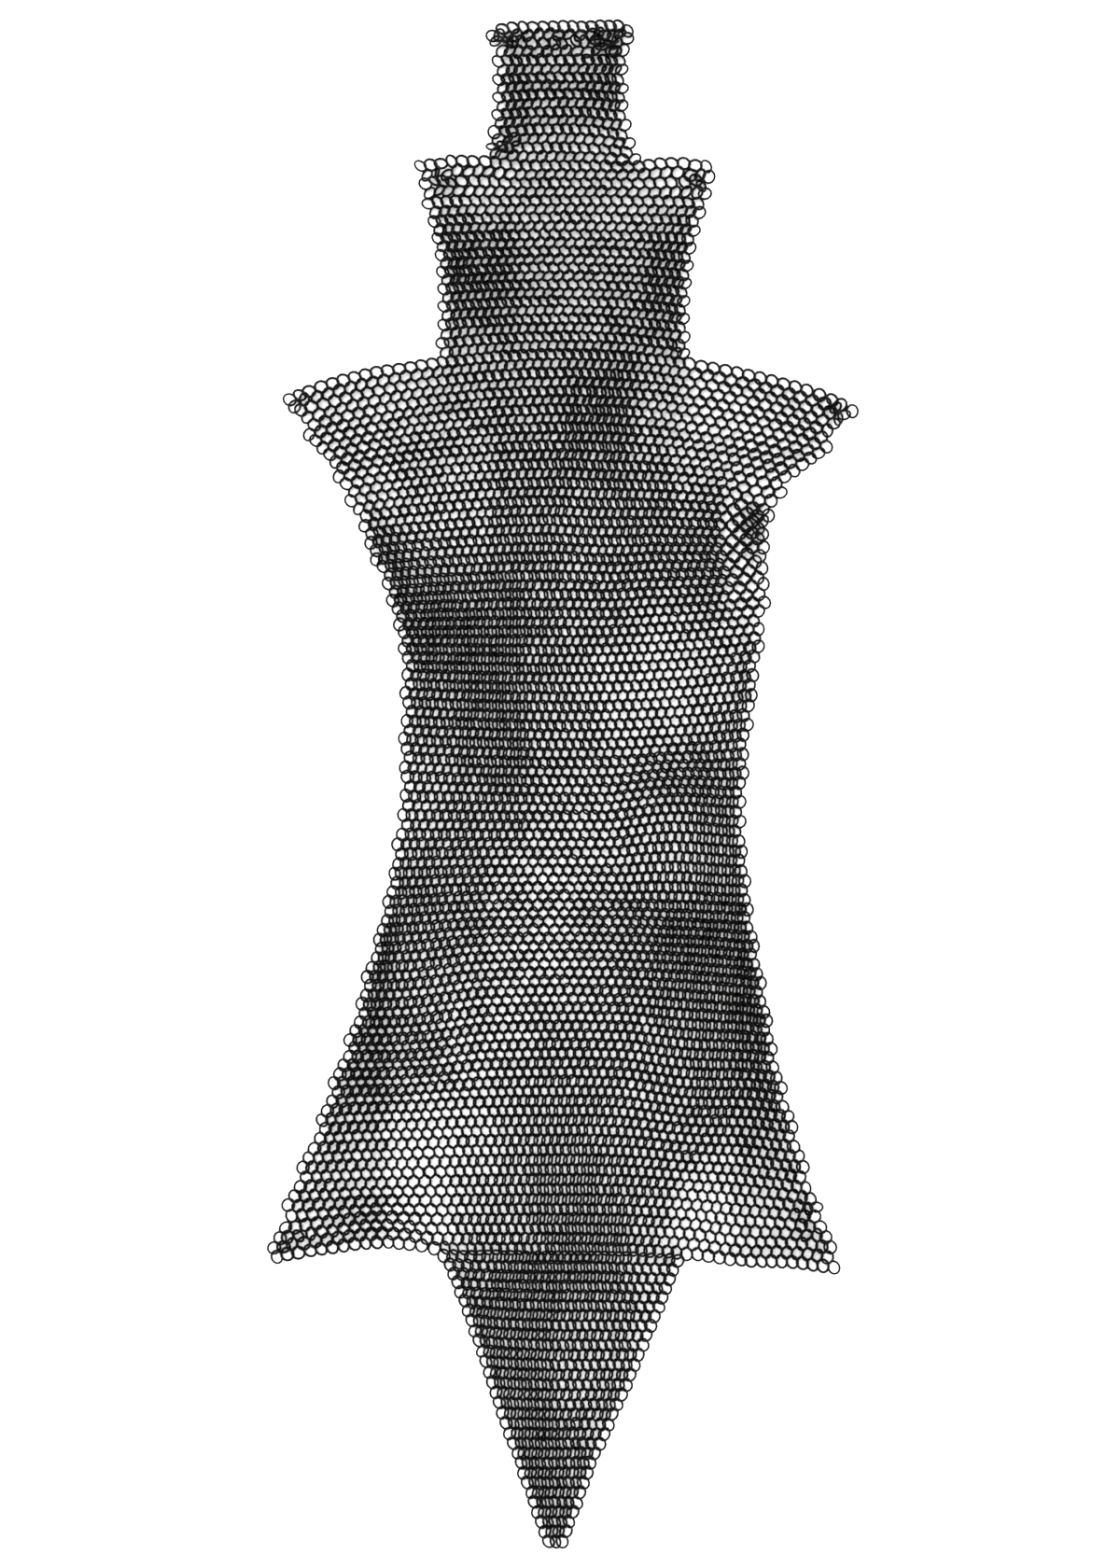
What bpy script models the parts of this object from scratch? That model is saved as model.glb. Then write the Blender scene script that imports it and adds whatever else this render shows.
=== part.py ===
"""Mail chausse laid flat: one leg of butted four-in-one mail, opened out on a table.

+Y points to the waist end and +X to the right of the laid piece. Rows of rings are counted from the waist
end. Each piece is a wall of mail with a flat underside, and its edge steps in and out with the rows.
Table values are in millimetres.
"""
import math
from collections import namedtuple

import bmesh
import bpy
from mathutils import Matrix

# The mail is 9 mm rings of 1.6 mm wire; where it lies leaned over and linked it stands 5.6 mm high.
MM = 0.001
WALL = 5.6
SEAM_GAP = 0.3
SCALLOP = 3.0
FREE_LIP = 2.4
EDGE_ROUND = 0.9
EDGE_ROUND_WIDTH = 9.0
STEP_MARGIN = 0.8
STEP_RUN = 3.0
COLUMN_CLEARANCE = 0.3
BOW_SPAN = 100.0

# Half rows where one piece ends and the next begins.
TAB_TOP_ROW = -0.5
TAB_HIP_SEAM = 15.5
HIP_THIGH_SEAM = 37.5
THIGH_KNEE_SEAM = 65.5
THIGH_GORE_END = 86.9
KNEE_SHIN_SEAM = 95.5
SHIN_ANKLE_SEAM = 115.5
ANKLE_FLAP_SEAM = 135.5
FLAP_TOE_ROW = 165.5
WHOLE_ROW = (-1000, 1000)

# Where the middle of a row lies, and how far the row has sunk 100 mm to the left and right of it.
Course = namedtuple("Course", "row y x bow_left bow_right")
COURSES = (
    Course(-1, 659, 0, 1, 1),
    Course(12, 564, 0, 1, 1),
    Course(18, 518, 2, 2, 2),
    Course(24, 474, 2, 3, 3),
    Course(30, 431, 2, 4, 6),
    Course(36, 386, 3, 6, 7),
    Course(42, 340, 3, 6.5, 6.8),
    Course(48, 293, 2, 5.2, 5.4),
    Course(54, 245, 1, 4.4, 3.8),
    Course(60, 197, 1, 4, -0.5),
    Course(66, 149, 1, 1.5, -3.2),
    Course(72, 101, 1, -1.5, -3.8),
    Course(78, 52, 3, -2.5, -3.6),
    Course(84, 4, 6, -1.8, -3.2),
    Course(90, -42, 10, 0, -1.5),
    Course(96, -87, 12, 1.8, 1.2),
    Course(102, -130, 13, 2.8, 3.2),
    Course(108, -175, 12, 3.4, 4),
    Course(114, -222, 9, 2.8, 4.2),
    Course(120, -270, 7, 2, 4),
    Course(126, -321, 5, 1.5, 3.6),
    Course(135, -398, 4, 0.2, 3.3),
    Course(140, -440, 3, -6, 1.5),
    Course(148, -508, 2, -10, 0),
    Course(156, -575, 0, -5, 0),
    Course(166, -660, -6, 0, 0),
)

# Left and right outer edge of each stretch of the leg.
Edge = namedtuple("Edge", "row left right")
TAB_EDGES = (
    Edge(-1, -50, 46),
    Edge(0, -60, 57),
    Edge(1, -64, 62),
    Edge(3, -60, 60),
    Edge(8, -58, 57),
    Edge(13, -60, 59),
    Edge(16, -66, 63),
)
HIP_EDGES = (
    Edge(15, -126, 140),
    Edge(18, -123, 134),
    Edge(22, -115, 123),
    Edge(26, -107, 115),
    Edge(31, -104, 111),
    Edge(38, -108, 110),
)
LEG_EDGES = (
    Edge(37, -245, 260),
    Edge(38, -239, 254),
    Edge(42, -219, 238),
    Edge(46, -203, 215),
    Edge(50, -186, 196),
    Edge(54, -171, 185),
    Edge(58, -162, 183),
    Edge(62, -150, 181),
    Edge(66, -143, 175),
    Edge(70, -136, 174),
    Edge(78, -136, 169),
    Edge(84, -136, 160),
    Edge(90, -140, 158),
    Edge(94, -144, 161),
    Edge(100, -154, 167),
    Edge(106, -170, 175),
    Edge(112, -183, 184),
    Edge(118, -197, 193),
    Edge(124, -217, 208),
    Edge(130, -234, 227),
    Edge(136, -255, 243),
)
FLAP_EDGES = (
    Edge(135, -100, 107),
    Edge(145, -77, 74),
    Edge(155, -46, 39),
    Edge(166, -15, 4),
)
# Where the gores are joined to the straight leg panel.
GORE_SEAMS = (
    Edge(37, -158, 163),
    Edge(44, -151, 158),
    Edge(50, -146, 149),
    Edge(56, -143, 140),
    Edge(62, -138, 142),
    Edge(68, -130, 147),
    Edge(74, -126, 151),
    Edge(80, -128, 152),
    Edge(88, -135, 155),
    Edge(95, -141, 157),
    Edge(102, -143, 150),
    Edge(110, -145, 147),
    Edge(118, -144, 145),
    Edge(127, -146, 142),
    Edge(136, -143, 141),
)

# Places where the rows lie lower, or higher where the drop is negative, than their course says.
Sink = namedtuple("Sink", "x y reach_x reach_y drop")
SINKS = (
    Sink(-85, 528, 34, 14, -3),
    Sink(-238, 330, 16, 22, 5),
    Sink(254, 320, 14, 22, 9),
    Sink(200, 335, 36, 22, -3),
    Sink(-240, -402, 26, 30, 8),
    Sink(-154, -402, 38, 40, -6),
    Sink(152, -402, 34, 40, 4),
)

# Places where the mail is bunched or creased and stands above the plain wall.
Swell = namedtuple("Swell", "x y reach_x reach_y rise")
SWELLS = (
    Swell(-56, 640, 12, 15, 2.4),
    Swell(55, 641, 12, 15, 2.8),
    Swell(-20, 590, 55, 16, 0.8),
    Swell(-114, 522, 16, 14, 2.6),
    Swell(126, 522, 16, 14, 2.6),
    Swell(-104, 376, 18, 12, 1.6),
    Swell(108, 374, 18, 12, 1.6),
    Swell(-228, 330, 16, 12, 2.4),
    Swell(240, 326, 18, 14, 2.4),
    Swell(170, 222, 22, 30, 3.4),
    Swell(178, 186, 16, 18, 2.6),
    Swell(-95, 140, 42, 95, 1.2),
    Swell(-40, 10, 30, 120, 0.9),
    Swell(30, -330, 46, 110, 1.6),
    Swell(0, -455, 52, 60, 1.4),
    Swell(-160, 0, 30, 160, 0.9),
    Swell(158, -170, 30, 130, 1.1),
    Swell(-172, -180, 30, 90, 0.9),
    Swell(222, -370, 22, 34, 1.6),
    Swell(-98, -404, 18, 12, 1.4),
    Swell(102, -408, 18, 12, 1.6),
)

STEEL_COLOUR = (0.012, 0.012, 0.013, 1.0)
STEEL_METALLIC = 0.9
STEEL_ROUGHNESS = 0.42


def read_at(table, column, row):
    """Value of a named column at any row, on a smooth curve through the table's rows."""
    for index in range(len(table) - 1):
        if row <= table[index + 1].row or index == len(table) - 2:
            break
    before, start = table[max(index - 1, 0)], table[index]
    end, after = table[index + 1], table[min(index + 2, len(table) - 1)]
    low, high = getattr(start, column), getattr(end, column)
    span = end.row - start.row
    slope_in = span * (high - getattr(before, column)) / (end.row - before.row)
    slope_out = span * (getattr(after, column) - low) / (after.row - start.row)
    t = (row - start.row) / span
    rise = low + t * slope_in + t * t * (3 * (high - low) - 2 * slope_in - slope_out)
    return rise + t ** 3 * (2 * (low - high) + slope_in + slope_out)


def nearness(x, y, place):
    """1 at the middle of a named place, falling to 0 at its reach times 1.4."""
    apart = ((x - place.x) / place.reach_x) ** 2 + ((y - place.y) / place.reach_y) ** 2
    return max(0.0, 1 - apart / 2) ** 2


def row_height(row, x):
    """Height in the layout of a row at x: the row's middle, less what it has sunk to that side."""
    off_middle = x - read_at(COURSES, "x", row)
    bow = read_at(COURSES, "bow_left" if off_middle < 0 else "bow_right", row)
    y = read_at(COURSES, "y", row) - bow * (off_middle / BOW_SPAN) ** 2
    return y - sum(sink.drop * nearness(x, y, sink) for sink in SINKS)


def wall_top(x, y, from_edge):
    """Top of the wall: rounded down at a free edge, raised where the mail is bunched."""
    rounding = EDGE_ROUND * max(0.0, 1 - from_edge / EDGE_ROUND_WIDTH)
    return WALL - rounding + sum(swell.rise * nearness(x, y, swell) for swell in SWELLS)


def scalloped(row):
    """How far the free side edge steps in at a row: rows with one ring fewer stand back."""
    return SCALLOP if int(round(row)) % 2 else 0.0


def free_edge(table, side):
    """Outer side edge, with the step between long and short rows."""
    inward = 1 if side == "left" else -1
    return lambda row: read_at(table, side, row) + inward * scalloped(row)


def sewn_edge(side, back):
    """Side edge where a gore meets the leg panel, half a seam gap back from the seam."""
    return lambda row: read_at(GORE_SEAMS, side, row) + back * SEAM_GAP / 2


def switched(first, second, change_row):
    """One side edge up to a row and another below it."""
    return lambda row: first(row) if row < change_row else second(row)


def joined_span(left, right, row):
    """Span of x along a seam that a narrower piece covers."""
    return (left(row) - STEP_MARGIN, right(row) + STEP_MARGIN)


def section_rows(first, last):
    """A piece's first and last half row, with a section on every row of rings between them."""
    return [first] + list(range(math.ceil(first), math.ceil(last))) + [last]


def column_fractions(count, steps):
    """Even fractions across a piece, and two more on each step in its end rows."""
    even = [index / count for index in range(count + 1)]
    clear = [f for f in even if all(abs(f - step) > COLUMN_CLEARANCE / count for step in steps)]
    return sorted(clear + steps)


def mail_material(name):
    """Blackened steel wire."""
    material = bpy.data.materials.new(name)
    material.use_nodes = True
    shader = material.node_tree.nodes["Principled BSDF"]
    shader.inputs["Base Color"].default_value = STEEL_COLOUR
    shader.inputs["Metallic"].default_value = STEEL_METALLIC
    shader.inputs["Roughness"].default_value = STEEL_ROUGHNESS
    material.diffuse_color = STEEL_COLOUR
    return material


def reach_past(x, joined):
    """What an end row reaches past its half row: back at a seam, out by the ring at a free edge."""
    if joined and joined[0] - STEP_RUN / 2 < x < joined[1] + STEP_RUN / 2:
        return -SEAM_GAP / 2
    return FREE_LIP


def place_columns(columns, rows, left, right, joined_spans):
    """Fractions across a piece where its columns lie, with the steps in its two end rows."""
    steps = []
    for row, joined in zip(rows, joined_spans):
        if joined and joined[0] > left(row):
            stops = (joined[0] - STEP_RUN, joined[0], joined[1], joined[1] + STEP_RUN)
            steps += [(x - left(row)) / (right(row) - left(row)) for x in stops]
    return column_fractions(columns, steps)


def add_piece(name, rows, left, right, columns, upper=None, lower=None, free=()):
    """A wall of mail between two side edges, from one half row to another.

    upper and lower give the span of x where the next piece is joined on at that end. None is a free end.
    free lists the outer edges of the leg that the piece reaches.
    """
    sections = section_rows(*rows)
    fractions = place_columns(columns, rows, left, right, (upper, lower))
    last_section = len(sections) - 1
    last_column = len(fractions) - 1

    mesh = bmesh.new()
    bmesh.ops.create_grid(mesh, x_segments=last_column, y_segments=last_section, size=0.5)
    for vertex in mesh.verts:
        index = round((0.5 - vertex.co.y) * last_section)
        row = sections[index]
        fraction = fractions[round((vertex.co.x + 0.5) * last_column)]
        x = left(row) + fraction * (right(row) - left(row))
        y = row_height(row, x)
        if index == 0:
            y += reach_past(x, upper)
        elif index == last_section:
            y -= reach_past(x, lower)
        from_edge = min([abs(x - edge(row)) for edge in free] + [EDGE_ROUND_WIDTH])
        vertex.co = (x * MM, y * MM, wall_top(x, y, from_edge) * MM)

    rim = [edge for edge in mesh.edges if edge.is_boundary]
    skirt = bmesh.ops.extrude_edge_only(mesh, edges=rim)["geom"]
    for vertex in (item for item in skirt if isinstance(item, bmesh.types.BMVert)):
        vertex.co.z = 0.0
    open_edges = [edge for edge in mesh.edges if edge.is_boundary]
    bmesh.ops.holes_fill(mesh, edges=open_edges, sides=0)
    bmesh.ops.recalc_face_normals(mesh, faces=mesh.faces)

    data = bpy.data.meshes.new(name)
    mesh.to_mesh(data)
    mesh.free()
    data.materials.append(mail_material(name + "_steel"))
    parts.objects.link(bpy.data.objects.new(name, data))


def centre_pieces(pieces):
    """Moves the laid leg so that the origin is under the middle of its outer box."""
    corners = [vertex.co for piece in pieces for vertex in piece.data.vertices]
    middle_x = (min(co.x for co in corners) + max(co.x for co in corners)) / 2
    middle_y = (min(co.y for co in corners) + max(co.y for co in corners)) / 2
    for piece in pieces:
        piece.data.transform(Matrix.Translation((-middle_x, -middle_y, 0)))


for old in list(bpy.data.objects):
    bpy.data.objects.remove(old, do_unlink=True)
parts = bpy.data.collections.new("mail_chausse")
bpy.context.scene.collection.children.link(parts)

tab_left, tab_right = free_edge(TAB_EDGES, "left"), free_edge(TAB_EDGES, "right")
hip_left, hip_right = free_edge(HIP_EDGES, "left"), free_edge(HIP_EDGES, "right")
leg_left, leg_right = free_edge(LEG_EDGES, "left"), free_edge(LEG_EDGES, "right")
flap_left, flap_right = free_edge(FLAP_EDGES, "left"), free_edge(FLAP_EDGES, "right")
panel_left, panel_right = sewn_edge("left", 1), sewn_edge("right", -1)
left_gore_inner, right_gore_inner = sewn_edge("left", -1), sewn_edge("right", 1)
knee_left = switched(panel_left, leg_left, THIGH_GORE_END + 0.5)
knee_right = switched(panel_right, leg_right, THIGH_GORE_END + 0.5)

tab_span = joined_span(tab_left, tab_right, TAB_HIP_SEAM)
hip_span = joined_span(hip_left, hip_right, HIP_THIGH_SEAM)
flap_span = joined_span(flap_left, flap_right, ANKLE_FLAP_SEAM)
tab_rows = (TAB_TOP_ROW, TAB_HIP_SEAM)
hip_rows = (TAB_HIP_SEAM, HIP_THIGH_SEAM)
thigh_rows = (HIP_THIGH_SEAM, THIGH_KNEE_SEAM)
thigh_gore_rows = (HIP_THIGH_SEAM, THIGH_GORE_END)
knee_rows = (THIGH_KNEE_SEAM, KNEE_SHIN_SEAM)
shin_rows = (KNEE_SHIN_SEAM, SHIN_ANKLE_SEAM)
ankle_rows = (SHIN_ANKLE_SEAM, ANKLE_FLAP_SEAM)
calf_gore_rows = (KNEE_SHIN_SEAM, ANKLE_FLAP_SEAM)
flap_rows = (ANKLE_FLAP_SEAM, FLAP_TOE_ROW)

add_piece("belt_tab", tab_rows, tab_left, tab_right, 6,
          lower=WHOLE_ROW, free=(tab_left, tab_right))
add_piece("hip_panel", hip_rows, hip_left, hip_right, 10,
          upper=tab_span, lower=WHOLE_ROW, free=(hip_left, hip_right))
add_piece("thigh_panel", thigh_rows, panel_left, panel_right, 14, upper=hip_span, lower=WHOLE_ROW)
add_piece("thigh_gore_left", thigh_gore_rows, leg_left, left_gore_inner, 4,
          lower=WHOLE_ROW, free=(leg_left,))
add_piece("thigh_gore_right", thigh_gore_rows, right_gore_inner, leg_right, 4,
          lower=WHOLE_ROW, free=(leg_right,))
add_piece("knee_panel", knee_rows, knee_left, knee_right, 12,
          upper=WHOLE_ROW, lower=WHOLE_ROW, free=(leg_left, leg_right))
add_piece("shin_panel", shin_rows, panel_left, panel_right, 12, upper=WHOLE_ROW, lower=WHOLE_ROW)
add_piece("ankle_panel", ankle_rows, panel_left, panel_right, 14, upper=WHOLE_ROW, lower=flap_span)
add_piece("calf_gore_left", calf_gore_rows, leg_left, left_gore_inner, 4,
          upper=WHOLE_ROW, free=(leg_left,))
add_piece("calf_gore_right", calf_gore_rows, right_gore_inner, leg_right, 4,
          upper=WHOLE_ROW, free=(leg_right,))
add_piece("foot_flap", flap_rows, flap_left, flap_right, 8,
          upper=WHOLE_ROW, free=(flap_left, flap_right))
centre_pieces(parts.objects)
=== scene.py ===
"""Mail chausse: one leg of butted four-in-one mail in blackened steel, opened out and laid flat."""
import math
from collections import namedtuple

import bpy
import numpy as np
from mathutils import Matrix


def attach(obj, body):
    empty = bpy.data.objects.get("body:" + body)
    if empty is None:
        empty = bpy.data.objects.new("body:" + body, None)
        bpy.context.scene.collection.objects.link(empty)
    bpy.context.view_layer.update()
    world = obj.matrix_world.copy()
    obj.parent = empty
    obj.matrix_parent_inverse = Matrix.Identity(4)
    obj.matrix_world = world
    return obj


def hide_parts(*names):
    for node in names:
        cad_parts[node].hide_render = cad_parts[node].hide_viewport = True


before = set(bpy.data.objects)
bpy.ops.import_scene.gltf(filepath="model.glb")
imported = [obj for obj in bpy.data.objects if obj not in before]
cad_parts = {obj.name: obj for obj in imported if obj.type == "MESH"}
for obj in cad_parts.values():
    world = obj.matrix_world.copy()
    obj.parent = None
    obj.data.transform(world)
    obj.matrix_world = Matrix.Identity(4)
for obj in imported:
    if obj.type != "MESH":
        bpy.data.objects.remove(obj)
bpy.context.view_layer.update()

# Belt tab: a strip of blackened steel rings, 15 wide, that is tied to the belt. Like the whole leg it is
# knitted four in one from the waist end down: each ring hangs from two and carries two, and the hip is
# knitted on to its last row. Its two top corners have bunched up on themselves.

# A ring has a row and a place in that row, counted from the middle line, and rows with an even number stand
# half a ring to the side. Each station of a piece gives, in millimetres, where its row lies, how far it sinks
# BOW_SPAN to the left and right of the middle, how many rings reach to each side, and where its rings lie.
# An inner place nearer than CLEAR_OF_END rings to the end of a short row is passed over.
BOW_SPAN = 100.0
CLEAR_OF_END = 0.6
Station = namedtuple("Station", "row y bow_left bow_right left_rings left_x inner_x right_x right_rings")
rings = {"row": [], "place": [], "x": [], "y": [], "piece": []}


def smooth_between(stations, row, read):
    """A value read from the stations, on a smooth curve through them, at any row."""
    index = max(i for i in range(len(stations) - 1) if i == 0 or stations[i].row <= row)
    start, end = stations[index], stations[index + 1]
    before = stations[max(index - 1, 0)]
    after = stations[min(index + 2, len(stations) - 1)]
    span = end.row - start.row
    slope_in = (read(end) - read(before)) * span / (end.row - before.row)
    slope_out = (read(after) - read(start)) * span / (after.row - start.row)
    t = (row - start.row) / span
    curve = 3 * (read(end) - read(start)) - 2 * slope_in - slope_out
    twist = 2 * (read(start) - read(end)) + slope_in + slope_out
    return read(start) + t * slope_in + t * t * curve + t ** 3 * twist


def one_place_further(places, xs, end, near):
    """The place one ring past an end of the row, and where it lies if the rings go on as spaced there."""
    slope = (xs[end] - xs[near]) / (places[end] - places[near])
    step = math.copysign(1.0, places[end])
    return places[end] + step, xs[end] + step * slope


def knit(stations, inner_places, which_piece):
    """Adds the rows from the first station to the last, and gives each ring the piece it belongs to."""
    for row in range(stations[0].row, stations[-1].row + 1):
        y, bow_left, bow_right, left_rings, left_x, right_x, right_rings = (
            smooth_between(stations, row, lambda station, name=name: getattr(station, name))
            for name in ("y", "bow_left", "bow_right", "left_rings", "left_x", "right_x", "right_rings"))
        inner = [smooth_between(stations, row, lambda station, i=i: station.inner_x[i])
                 for i in range(len(inner_places))]
        known = [(-left_rings, left_x)]
        known += [(place, x) for place, x in zip(inner_places, inner)
                  if CLEAR_OF_END - left_rings < place < right_rings - CLEAR_OF_END]
        known += [(right_rings, right_x)]
        places, xs = (np.array(column) for column in zip(*known))
        far_left = one_place_further(places, xs, 0, 1)
        places, xs = np.insert(places, 0, far_left[0]), np.insert(xs, 0, far_left[1])
        far_right = one_place_further(places, xs, -1, -2)
        places, xs = np.append(places, far_right[0]), np.append(xs, far_right[1])
        half = 0.5 if row % 2 == 0 else 0.0
        first = -(round(left_rings - half) + half)
        last = round(right_rings - half) + half
        for place in np.arange(first, last + 0.25):
            x = float(np.interp(place, places, xs))
            middle = float(np.interp(0.0, places, xs))
            bow = bow_left if x < middle else bow_right
            rings["row"].append(row)
            rings["place"].append(float(place))
            rings["x"].append(x)
            rings["y"].append(y - bow * ((x - middle) / BOW_SPAN) ** 2)
            rings["piece"].append(which_piece(row, float(place)))


TAB_INNER = (-6.5, -4, -1, 2, 4.5)
TAB = (
    Station(0, 650, 5, -9, 7.4, -58, (-49, -27, 0, 24, 43.5), 60, 6.8),
    Station(1, 644, 2, -4, 7.4, -57, (-48, -27, -1, 24, 42.5), 58, 6.8),
    Station(2, 637, 0, -3, 7.4, -55, (-47, -28, -2, 23, 41), 56, 6.8),
    Station(4, 622, 3, 0, 7.4, -53, (-45, -28, -4, 21, 38), 53, 6.8),
    Station(6, 607, 6, 6, 7.4, -52, (-45, -28, -4, 20, 37), 52, 6.8),
    Station(8, 593, 10, 10, 7.4, -52, (-45, -28, -5, 19, 36), 52, 6.8),
    Station(10, 578, 12, 14, 7.4, -52, (-45, -29, -5, 18, 36), 53, 6.8),
    Station(12, 563, 5, 18, 7.4, -56, (-48, -30, -6, 17, 37.5), 56, 6.8),
    Station(15, 539, 0, 10, 7.4, -59, (-51, -32, -7.5, 16, 38.5), 62, 6.8),
)
knit(TAB, TAB_INNER, lambda row, place: "belt_tab")

# Hip panel: a stretch of the same steel rings, 28 wide and stepped out from the tab on both sides. It covers
# the side of the hip and is knitted on to the tab above it and the thigh below it.
HIP_INNER = (-9, -4.5, 0, 4.5, 9)
HIP = (
    Station(16, 531, 1, 3, 13.3, -119, (-80, -38, 0, 39, 82), 129, 13.7),
    Station(19, 509, 2, 2, 13.3, -114, (-78, -38, 0, 39.5, 81), 123, 13.7),
    Station(24, 472, 3, 3, 13.3, -103, (-73, -39.5, 0, 39.5, 78.5), 111, 13.7),
    Station(31, 422, 4.2, 6, 13.3, -98, (-69, -38.5, -2, 37.5, 73), 104.5, 13.7),
    Station(37, 377, 6.3, 7, 13.3, -100, (-67, -34, 1, 36, 69), 104, 13.7),
)
knit(HIP, HIP_INNER, lambda row, place: "hip_panel")

# The leg: a straight strip 40 steel rings wide from thigh to ankle, in four lengths, with two gores at the
# thigh that make its wings and two at the calf that flare its lower end. A gore is knitted on to the strip
# ring by ring, so its seam doesn't show.
LEG_INNER = (-19.5, -14, -9, -4.5, 0, 4.5, 9, 14, 19.5)
LEG = (
    Station(38, 369, 6.5, 7, 27.5, -233, (-157, -104, -66, -31, 4, 37, 67, 106, 162), 251, 28.5),
    Station(44, 322, 6, 6.4, 25.2, -207, (-152, -104, -64, -30, 4, 33, 62, 104, 159), 224, 26),
    Station(50, 275, 4.9, 4.8, 23.3, -182, (-144, -101, -61, -29, 2, 32, 61, 98, 145), 192, 23.9),
    Station(57, 219, 4.2, 1.8, 22.7, -161, (-139, -97, -59, -29, 1, 33, 64, 98, 138), 179, 22.8),
    Station(64, 163, 2.4, -2.4, 22.1, -141, (-123, -89, -57, -29, 1, 33, 65, 103, 143), 174, 22.3),
    Station(72, 99, -1.5, -3.8, 20.9, -130, (-120, -86, -57, -30, 0, 33, 68, 109, 152), 167, 21.6),
    Station(80, 34, -2.4, -3.5, 20, -130, (-126, -88, -56, -29, 4, 37, 73, 112, 151), 158, 20.6),
    Station(88, -28, -0.7, -2.1, 19.3, -133, (-132, -94, -59, -27, 8, 45, 80, 116, 151), 153, 19.8),
    Station(96, -89, 1.8, 1.2, 20.4, -143, (-137, -101, -65, -28, 12, 49, 82, 116, 150), 158, 20.9),
    Station(104, -147, 3, 3.5, 22.3, -160, (-143, -103, -65, -27, 13, 49, 83, 114, 148), 167, 22.6),
    Station(112, -208, 3, 4.1, 24.1, -177, (-143, -102, -61, -24, 10, 45, 78, 112, 146), 178, 24.5),
    Station(120, -272, 2, 4, 26.4, -199, (-145, -98, -57, -24, 7, 38, 70, 107, 145), 194, 26.3),
    Station(128, -340, 1.2, 3.5, 28.6, -224, (-145, -93, -55, -24, 4, 32, 62, 98, 143), 214, 28.3),
    Station(135, -399, 0.2, 3.3, 30.5, -249, (-143, -91, -56, -24, 4, 30, 56, 92, 142), 236, 30),
)
PANEL_RINGS = 20
GORE_CHANGE_ROW = 92


def leg_piece(row, place):
    """Which panel or gore a ring of the leg belongs to."""
    if abs(place) > PANEL_RINGS:
        part = "thigh_gore" if row < GORE_CHANGE_ROW else "calf_gore"
        return part + ("_left" if place < 0 else "_right")
    for last_row, panel in ((65, "thigh_panel"), (95, "knee_panel"), (115, "shin_panel")):
        if row <= last_row:
            return panel
    return "ankle_panel"


knit(LEG, LEG_INNER, leg_piece)

# Foot flap: 32 steel rings wide where it is knitted on to the ankle and one ring fewer in each row, so that
# it ends in a point of three rings over the toes.
FLAP_INNER = (-10, -5, 0, 5, 10)
FLAP = (
    Station(136, -407, -1, 3, 15.5, -97, (-57, -27, 0, 28, 58), 100, 15.5),
    Station(143, -465, -8, 1, 12, -76, (-64, -34, -4, 29, 62), 78, 12),
    Station(150, -525, -9, 0, 8.5, -55, (-66, -34, -5, 30, 60), 53, 8.5),
    Station(158, -592, -4, 0, 4.5, -31, (-66, -34, -5, 24, 60), 23, 4.5),
    Station(165, -651, 0, 0, 1, -10, (-76, -40, -4, 32, 68), 2, 1),
)
knit(FLAP, FLAP_INNER, lambda row, place: "foot_flap")

# The mail as it lies: one net of steel rings, laid out by hand on a table. Linked rings can't part by more
# than their inside diameter lets them, and a row can't close up past the wire, so each round of settling
# draws every link and every row towards that. A push is a spot that a hand moved, by so many millimetres.
LINK_LEAST = 7.9
LINK_MOST = 9.0
PITCH_LEAST = 5.0
PITCH_MOST = 10.8
SETTLE_ROUNDS = 160
SETTLE_SPEED = 1.6
# How firmly a ring stays where its table laid it, and how much a round evens out the gaps along a row.
HOLD_INNER = 0.07
HOLD_EDGE = 0.25
EVEN_OUT = 0.05
Push = namedtuple("Push", "x y reach_x reach_y right down")
PUSHES = (
    Push(-60, 652, 8, 9, 0, 6),
    Push(61, 654, 8, 9, 0, 8),
    Push(-88, 530, 38, 16, 0, -8),
    Push(108, 530, 38, 16, 0, -9),
    Push(-128, -201, 50, 75, 0, 5),
    Push(109, -261, 45, 70, 0, 5),
    Push(97, -32, 42, 55, 0, -6),
    Push(40, 208, 35, 70, 0, 2),
    Push(-238, 330, 16, 22, 0, 5),
    Push(254, 320, 14, 22, 0, 9),
    Push(-185, 356, 75, 26, 0, -3),
    Push(200, 354, 75, 26, 0, -1),
    Push(170, 222, 38, 46, -6, 0),
    Push(-240, -402, 26, 30, 0, 8),
    Push(-154, -402, 38, 40, 0, -6),
    Push(152, -402, 34, 40, 0, 4),
)
LAID_SPREAD = 0.35
chance = np.random.default_rng(4)

row_of = np.array(rings["row"])
place_of = np.array(rings["place"])
piece_of = np.array(rings["piece"])
lie = np.column_stack((rings["x"], rings["y"]))
count = len(lie)


def nearness(points, spot):
    """1 at the middle of a spot, falling to 0 at 1.4 times its reach."""
    apart = ((points[:, 0] - spot.x) / spot.reach_x) ** 2 + ((points[:, 1] - spot.y) / spot.reach_y) ** 2
    return np.maximum(0.0, 1 - apart / 2) ** 2


closeness = [nearness(lie, push) for push in PUSHES]
lie[:, 0] += sum(push.right * near for push, near in zip(PUSHES, closeness))
lie[:, 1] -= sum(push.down * near for push, near in zip(PUSHES, closeness))
lie += chance.normal(0, LAID_SPREAD, lie.shape)
ring_at = {(row, round(2 * place)): i for i, (row, place) in enumerate(zip(row_of, place_of))}


def pairs(row_step, half_place_step):
    """Rings that lie a given step apart in the weave."""
    found = [(i, ring_at.get((row + row_step, half_places + half_place_step)))
             for (row, half_places), i in ring_at.items()]
    return np.array([pair for pair in found if pair[1] is not None])


def shared(indices, amounts):
    """Sum of the amounts that fall on each ring."""
    return np.column_stack([np.bincount(indices, amounts[:, k], count) for k in range(amounts.shape[1])])


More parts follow.
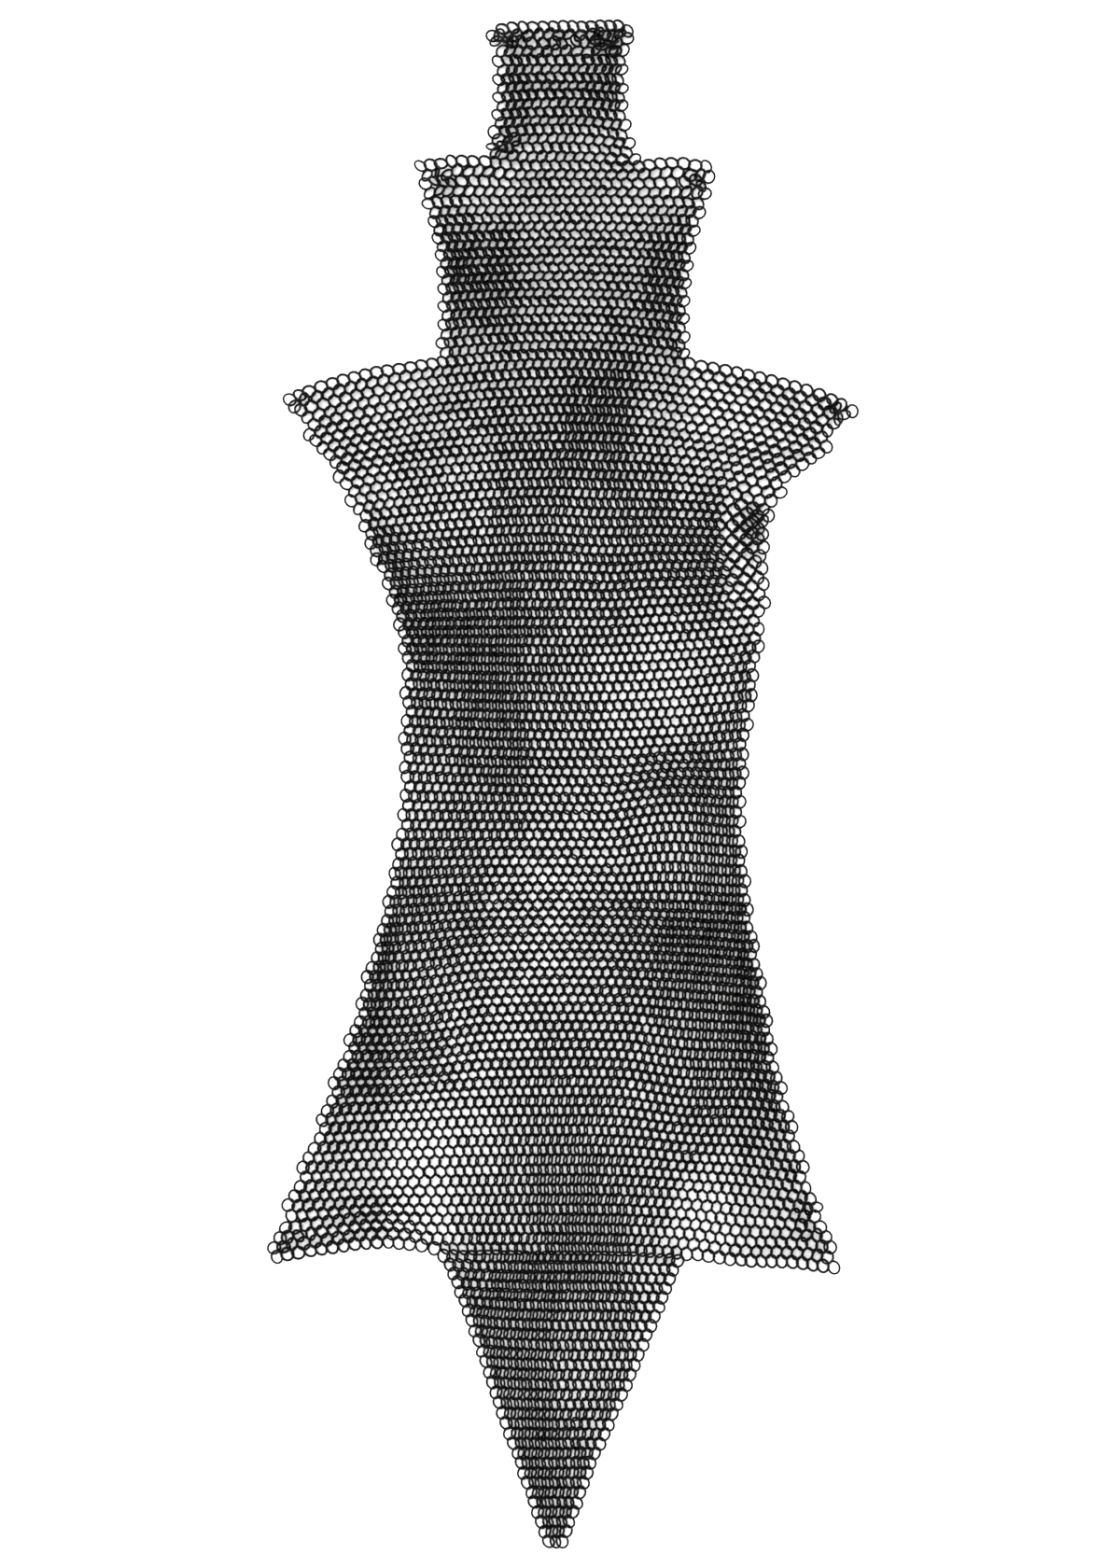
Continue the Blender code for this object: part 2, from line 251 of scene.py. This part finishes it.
links = np.vstack((pairs(1, -1), pairs(1, 1)))
side_by_side = pairs(0, 2)
left, right = side_by_side.T
beside = np.bincount(side_by_side.ravel(), minlength=count)
at_edge = beside < 2
hold = np.where(at_edge, HOLD_EDGE, HOLD_INNER)[:, None]
laid = lie.copy()
for _ in range(SETTLE_ROUNDS):
    move = np.zeros_like(lie)
    pulls = np.zeros(count)
    for couples, least, most in ((links, LINK_LEAST, LINK_MOST),
                                 (side_by_side, PITCH_LEAST, PITCH_MOST)):
        one, other = couples.T
        apart = lie[other] - lie[one]
        length = np.linalg.norm(apart, axis=1)
        pull = apart * ((length - np.clip(length, least, most)) / length / 2)[:, None]
        move += shared(one, pull) - shared(other, pull)
        pulls += np.bincount(couples.ravel(), minlength=count)
    between = (shared(left, lie[right]) + shared(right, lie[left])) / np.maximum(beside, 1)[:, None]
    even = np.where(at_edge[:, None], 0.0, between - lie)
    lie += SETTLE_SPEED * move / np.maximum(pulls, 1)[:, None] + hold * (laid - lie) + EVEN_OUT * even

# The rings: steel wire of 1.6 mm wound on a 9 mm mandrel, cut and closed with its two ends butted. Both
# sizes are a little larger here, as the rings read in the picture. A ring leans over on the next in its row,
# one way in even rows and the other way in odd rows.
WIRE = 1.7
RING_INSIDE = 9.3
RING_RADIUS = (RING_INSIDE + WIRE) / 2
RING_SPANS = 13
# The wire narrows to this share of its thickness where its two ends meet, over this angle to either side.
JOINT_HALF_ANGLE = 0.05
JOINT_NECK = 0.72
WIRE_SIDES = 5
# A wire of five flat sides has to be this much thicker than a round one to look as thick. In the tab and
# hip and in the gores the rings crowd and read heavier, so there the wire is drawn thicker still.
WIRE_HEIGHTS = (220.0, 340.0)
WIRE_CORNER_RADII = (1.18 * WIRE / 2, 1.37 * WIRE / 2)
GORE_CORNER_RADIUS = 1.38 * WIRE / 2
EDGE_CORNER_RADIUS = 1.18 * WIRE / 2
LEAN_EVEN = math.radians(27)
LEAN_ODD = math.radians(33)
# Where the net is pulled out wide the rings lie flatter, and those at an edge lean on one neighbour only.
PULLED_PITCHES = (8.9, 10.2)
PULLED_LEANS = (1.0, 0.5)
LEAN_AT_EDGE = math.radians(22)
# All rings of a place also nod the same way, with their lower edge up at the waist and down at the ankle.
NOD_HEIGHTS = (-300, -200, 0, 150, 400)
NODS = (6, 0, -9, -9, -19)
LEAN_SPREAD = math.radians(4)
TURN_SPREAD = math.radians(6)
# In a bunch the rings ride up on one another by lift, point any way by disorder and are drawn together by
# gather: millimetres, degrees and a share of the way to its middle. Disorder also moves a ring about, by
# BUNCH_JUMBLE millimetres for each degree, and leans it by a share of what it turns it.
DISORDER_LEAN = 0.6
BUNCH_JUMBLE = 0.06
LIFT_LEAST = 0.3
Bunch = namedtuple("Bunch", "x y reach_x reach_y lift disorder gather")
BUNCHES = (
    Bunch(-46, 637, 22, 10, 2.4, 20, 0.28),
    Bunch(38, 636, 28, 11, 2.6, 22, 0.28),
    Bunch(-50, 548, 16, 16, 1.6, 14, 0.20),
    Bunch(-108, 519, 22, 14, 2.6, 18, 0.32),
    Bunch(-75, 525, 22, 8, 1.6, 10, 0.10),
    Bunch(122, 518, 20, 14, 2.6, 18, 0.32),
    Bunch(0, 636, 70, 9, 1.8, 12, 0.0),
    Bunch(-104, 376, 18, 12, 1.2, 8, 0.10),
    Bunch(108, 374, 18, 12, 1.2, 8, 0.10),
    Bunch(-228, 330, 18, 14, 2.4, 18, 0.20),
    Bunch(240, 326, 20, 16, 2.4, 18, 0.20),
    Bunch(170, 222, 22, 34, 2.8, 12, 0.25),
    Bunch(178, 186, 16, 18, 2.4, 12, 0.20),
    Bunch(-238, -392, 24, 18, 1.8, 14, 0.15),
    Bunch(222, -370, 22, 34, 1.8, 12, 0.10),
    Bunch(-98, -404, 18, 12, 1.2, 6, 0.10),
    Bunch(102, -408, 18, 12, 1.2, 6, 0.10),
)
# The tables count from the middle of the picture. The middle of the work lies here.
MIDDLE_OFF = (2.0, -0.2)
MM = 0.001

step = lie[right] - lie[left]
along = shared(left, step) + shared(right, step)
reach = np.linalg.norm(along, axis=1)
along /= reach[:, None]
flatter = np.interp(reach / beside, PULLED_PITCHES, PULLED_LEANS)
lean = np.where(at_edge, LEAN_AT_EDGE, np.where(row_of % 2 == 0, LEAN_EVEN, LEAN_ODD) * flatter)
nod = np.radians(np.interp(lie[:, 1], NOD_HEIGHTS, NODS))
disorder = sum(bunch.disorder * nearness(lie, bunch) for bunch in BUNCHES)
lift = sum(bunch.lift * nearness(lie, bunch) for bunch in BUNCHES)
gathered = [bunch.gather * nearness(lie, bunch)[:, None] * ((bunch.x, bunch.y) - lie) for bunch in BUNCHES]
lie += sum(gathered) + chance.normal(0, 1, lie.shape) * disorder[:, None] * BUNCH_JUMBLE
lie -= MIDDLE_OFF
lean_spread = LEAN_SPREAD + np.radians(disorder) * DISORDER_LEAN
lean = lean + chance.normal(0, 1, count) * lean_spread
turn = chance.normal(0, 1, count) * (TURN_SPREAD + np.radians(disorder))
nod += chance.normal(0, 1, count) * lean_spread
lean_side = np.where(row_of % 2 == 0, 1.0, -1.0)

up = np.tile((0.0, 0.0, 1.0), (count, 1))
across = np.column_stack((along[:, 0] * np.cos(turn) - along[:, 1] * np.sin(turn),
                          along[:, 0] * np.sin(turn) + along[:, 1] * np.cos(turn), np.zeros(count)))
along_leg = np.cross(up, across)
tilt = (lean_side * lean)[:, None]
plane_side = across * np.cos(tilt) - up * np.sin(tilt)
axis = across * np.sin(tilt) + up * np.cos(tilt)
plane_long = along_leg * np.cos(nod[:, None]) + axis * np.sin(nod[:, None])
axis = np.cross(plane_side, plane_long)
corner_radius = np.interp(lie[:, 1], WIRE_HEIGHTS, WIRE_CORNER_RADII)
corner_radius[np.char.find(piece_of, "gore") >= 0] = GORE_CORNER_RADIUS
corner_radius[at_edge] = EDGE_CORNER_RADIUS
reach_down = RING_RADIUS * np.sqrt(plane_side[:, 2] ** 2 + plane_long[:, 2] ** 2) + corner_radius
centre = np.column_stack((lie, reach_down + lift * chance.uniform(LIFT_LEAST, 1.0, count)))

spans = np.append(np.linspace(JOINT_HALF_ANGLE, 2 * math.pi - JOINT_HALF_ANGLE, RING_SPANS), 0.0)
necks = np.where(spans == 0.0, JOINT_NECK, 1.0)
sides = np.arange(WIRE_SIDES) * 2 * math.pi / WIRE_SIDES
joint_at = chance.uniform(0, 2 * math.pi, count)


def ring_mesh(chosen):
    """Corners and faces of the chosen rings, each a closed tube of wire."""
    angle = spans[None, :] + joint_at[chosen][:, None]
    outward = (np.cos(angle)[..., None] * plane_side[chosen][:, None, :]
               + np.sin(angle)[..., None] * plane_long[chosen][:, None, :])
    middle = centre[chosen][:, None, :] + RING_RADIUS * outward
    radius = corner_radius[chosen][:, None, None, None] * necks[None, :, None, None]
    wire = middle[:, :, None, :] + radius * (
        np.cos(sides)[None, None, :, None] * outward[:, :, None, :]
        + np.sin(sides)[None, None, :, None] * axis[chosen][:, None, None, :])
    corners = wire.reshape(-1, 3) * MM
    sections = len(spans)
    i, j = np.meshgrid(np.arange(sections), np.arange(WIRE_SIDES), indexing="ij")
    i, j = i.ravel(), j.ravel()
    next_i, next_j = (i + 1) % sections, (j + 1) % WIRE_SIDES
    one_ring = np.column_stack((i * WIRE_SIDES + j, next_i * WIRE_SIDES + j,
                                next_i * WIRE_SIDES + next_j, i * WIRE_SIDES + next_j))
    starts = np.arange(len(chosen)) * sections * WIRE_SIDES
    faces = (one_ring[None, :, :] + starts[:, None, None]).reshape(-1, 4)
    return corners, faces


def linear(hex_colour):
    """A colour given as sRGB hex, as linear values."""
    parts = [int(hex_colour[i:i + 2], 16) / 255 for i in (0, 2, 4)]
    return [c / 12.92 if c <= 0.04045 else ((c + 0.055) / 1.055) ** 2.4 for c in parts] + [1.0]


def add_node(tree, kind, settings=(), links=()):
    """Adds a node, with its settings and what its inputs are linked to."""
    node = tree.nodes.new(kind)
    for name, value in dict(settings).items():
        if name in node.inputs:
            node.inputs[name].default_value = value
        else:
            setattr(node, name, value)
    for name, output in dict(links).items():
        tree.links.new(output, node.inputs[name])
    return node


def oil_blackened_wire():
    """Mild steel wire, drawn and then oil-blackened: near black, with a dull grey shine on its crown and
    browner patches where the black is thin."""
    material = bpy.data.materials.new("oil_blackened_steel_wire")
    material.use_nodes = True
    tree = material.node_tree
    shader = tree.nodes["Principled BSDF"]
    shader.inputs["Metallic"].default_value = 0.95
    coords = add_node(tree, "ShaderNodeTexCoord")
    each_ring = add_node(tree, "ShaderNodeNewGeometry")
    # Patches of thin blackening are about 4 mm long. The marks of drawing are about 0.3 mm apart, and are
    # drawn twice as coarse so that they show.
    patches = add_node(tree, "ShaderNodeTexNoise", {"Scale": 1 / (4 * MM), "Detail": 4.0},
                       {"Vector": coords.outputs["Object"]})
    marks = add_node(tree, "ShaderNodeTexNoise", {"Scale": 1 / (0.6 * MM), "Detail": 2.0},
                     {"Vector": coords.outputs["Object"]})
    colour = add_node(tree, "ShaderNodeValToRGB", {}, {"Fac": patches.outputs["Fac"]})
    colour.color_ramp.elements[0].position = 0.35
    colour.color_ramp.elements[0].color = linear("050505")
    colour.color_ramp.elements[1].position = 0.75
    colour.color_ramp.elements[1].color = linear("131211")
    # Each ring came out of the oil a little lighter or darker than the next.
    tone = add_node(tree, "ShaderNodeMapRange", {"To Min": 0.75, "To Max": 1.3},
                    {"Value": each_ring.outputs["Random Per Island"]})
    toned = add_node(tree, "ShaderNodeVectorMath", {"operation": "SCALE"},
                     {"Vector": colour.outputs["Color"], "Scale": tone.outputs["Result"]})
    gloss = add_node(tree, "ShaderNodeMapRange", {"To Min": 0.25, "To Max": 0.42},
                     {"Value": patches.outputs["Fac"]})
    bump = add_node(tree, "ShaderNodeBump", {"Strength": 0.15, "Distance": 0.05 * MM},
                    {"Height": marks.outputs["Fac"]})
    tree.links.new(toned.outputs["Vector"], shader.inputs["Base Color"])
    tree.links.new(gloss.outputs["Result"], shader.inputs["Roughness"])
    tree.links.new(bump.outputs["Normal"], shader.inputs["Normal"])
    return material


# The eleven pieces, each its own stretch of the one net, all in blackened steel.

# The cut is stated for the net pulled open, with the rings of a row 9.6 mm apart and each link drawn out to
# 8.9 mm. As it lies here the net takes about a fifth less. A piece's flat size is its widest row by its
# number of rows, and its area is its count of rings.
wire_steel = oil_blackened_wire()
for name in sorted(set(piece_of)):
    chosen = np.flatnonzero(piece_of == name)
    corners, faces = ring_mesh(chosen)
    data = bpy.data.meshes.new(name + "_rings")
    data.from_pydata(corners, [], faces)
    data.shade_smooth()
    data.materials.append(wire_steel)
    piece = bpy.data.objects.new(name + "_rings", data)
    bpy.context.scene.collection.objects.link(piece)
    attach(piece, "root")
    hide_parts(name)

# The surface that the mail lies on: a plain white painted board, wide enough to fill the view.
BOARD_REACH = 3.0
board_mesh = bpy.data.meshes.new("table_top")
board_mesh.from_pydata([(-BOARD_REACH, -BOARD_REACH, 0), (BOARD_REACH, -BOARD_REACH, 0),
                        (BOARD_REACH, BOARD_REACH, 0), (-BOARD_REACH, BOARD_REACH, 0)], [], [(0, 1, 2, 3)])
board = bpy.data.objects.new("table_top", board_mesh)
bpy.context.scene.collection.objects.link(board)
white_paint = bpy.data.materials.new("white_painted_board")
white_paint.use_nodes = True
white_paint.node_tree.nodes["Principled BSDF"].inputs["Base Color"].default_value = linear("f7f7f7")
white_paint.node_tree.nodes["Principled BSDF"].inputs["Roughness"].default_value = 0.9
board_mesh.materials.append(white_paint)

# Soft light from everywhere, strong enough that the board shows white between the rings, with one broad
# panel above the waist end, to the left, that gives the wire its shine.
SURROUND_STRENGTH = 2.15
PANEL_WATTS = 50
PANEL_WIDE = 1.6
PANEL_LONG = 2.0
PANEL_PLACE = (-1.1, 1.3, 3.2)
PANEL_TILT = (math.radians(-22), math.radians(-19), 0)
world = bpy.data.worlds.new("studio")
world.use_nodes = True
world.node_tree.nodes["Background"].inputs["Color"].default_value = (1, 1, 1, 1)
world.node_tree.nodes["Background"].inputs["Strength"].default_value = SURROUND_STRENGTH
bpy.context.scene.world = world
bpy.context.scene.view_settings.view_transform = "Standard"
panel = bpy.data.lights.new("overhead_panel", "AREA")
panel.shape = "RECTANGLE"
panel.size = PANEL_WIDE
panel.size_y = PANEL_LONG
panel.energy = PANEL_WATTS
overhead = bpy.data.objects.new("overhead_panel", panel)
overhead.location = PANEL_PLACE
overhead.rotation_euler = PANEL_TILT
bpy.context.scene.collection.objects.link(overhead)

# The camera looks straight down on the middle of the picture, with the waist end at its top. The picture is
# 1680 pixels high and one pixel is 0.803 mm, which makes it 1.349 m high on the board.
LENS = 85.0
SENSOR = 36.0
PICTURE_HEIGHT = 1.349
camera_data = bpy.data.cameras.new("camera")
camera_data.lens = LENS
camera_data.sensor_width = SENSOR
camera = bpy.data.objects.new("camera", camera_data)
camera.location = (-MIDDLE_OFF[0] * MM, -MIDDLE_OFF[1] * MM, PICTURE_HEIGHT * LENS / SENSOR)
bpy.context.scene.collection.objects.link(camera)
bpy.context.scene.camera = camera
